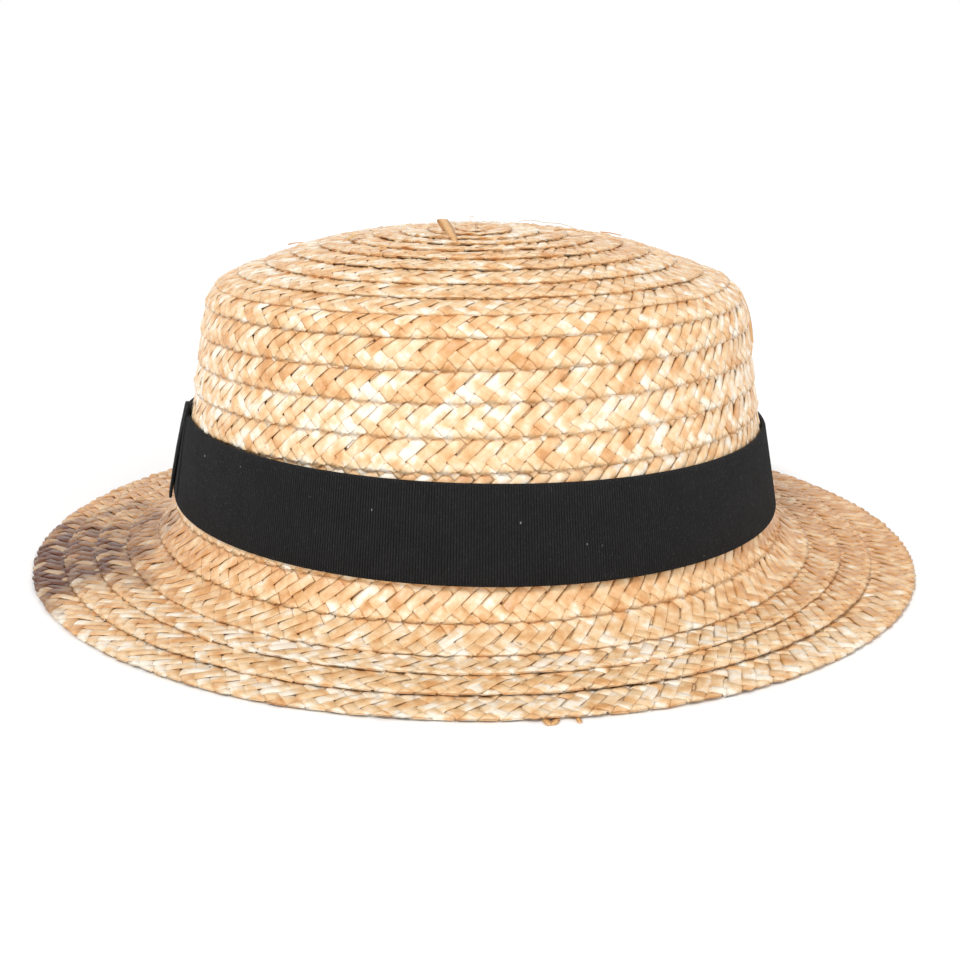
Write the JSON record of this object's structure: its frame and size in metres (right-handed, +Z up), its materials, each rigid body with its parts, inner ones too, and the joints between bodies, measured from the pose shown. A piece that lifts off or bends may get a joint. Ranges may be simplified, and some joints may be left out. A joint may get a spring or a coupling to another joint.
{
  "type": "straw boater hat",
  "caption": "Straw boater hat of sewn plait with a domed oval crown, a flat brim, a black ribbed ribbon band and a flat side bow.",
  "frame": {"origin": "middle of the flat ring under the brim, on the surface that the hat rests on", "axes": "+Z up through the crown, the hat's front towards -Y, its longer way along Y and the bow on the -X side"},
  "size_m": [0.253, 0.274, 0.0918],
  "materials": {
    "crown_straw": "glossy plaited straw",
    "brim_straw": "glossy plaited straw",
    "ribbon": "matt ribbed ribbon",
    "bow": "matt ribbed ribbon"
  },
  "bodies": {
    "root": {"crown": "crown_straw", "brim": "brim_straw", "ribbon_band": "ribbon", "bow_tails": "bow", "bow_loops": "bow", "bow_knot": "bow"}
  },
  "joints": []
}
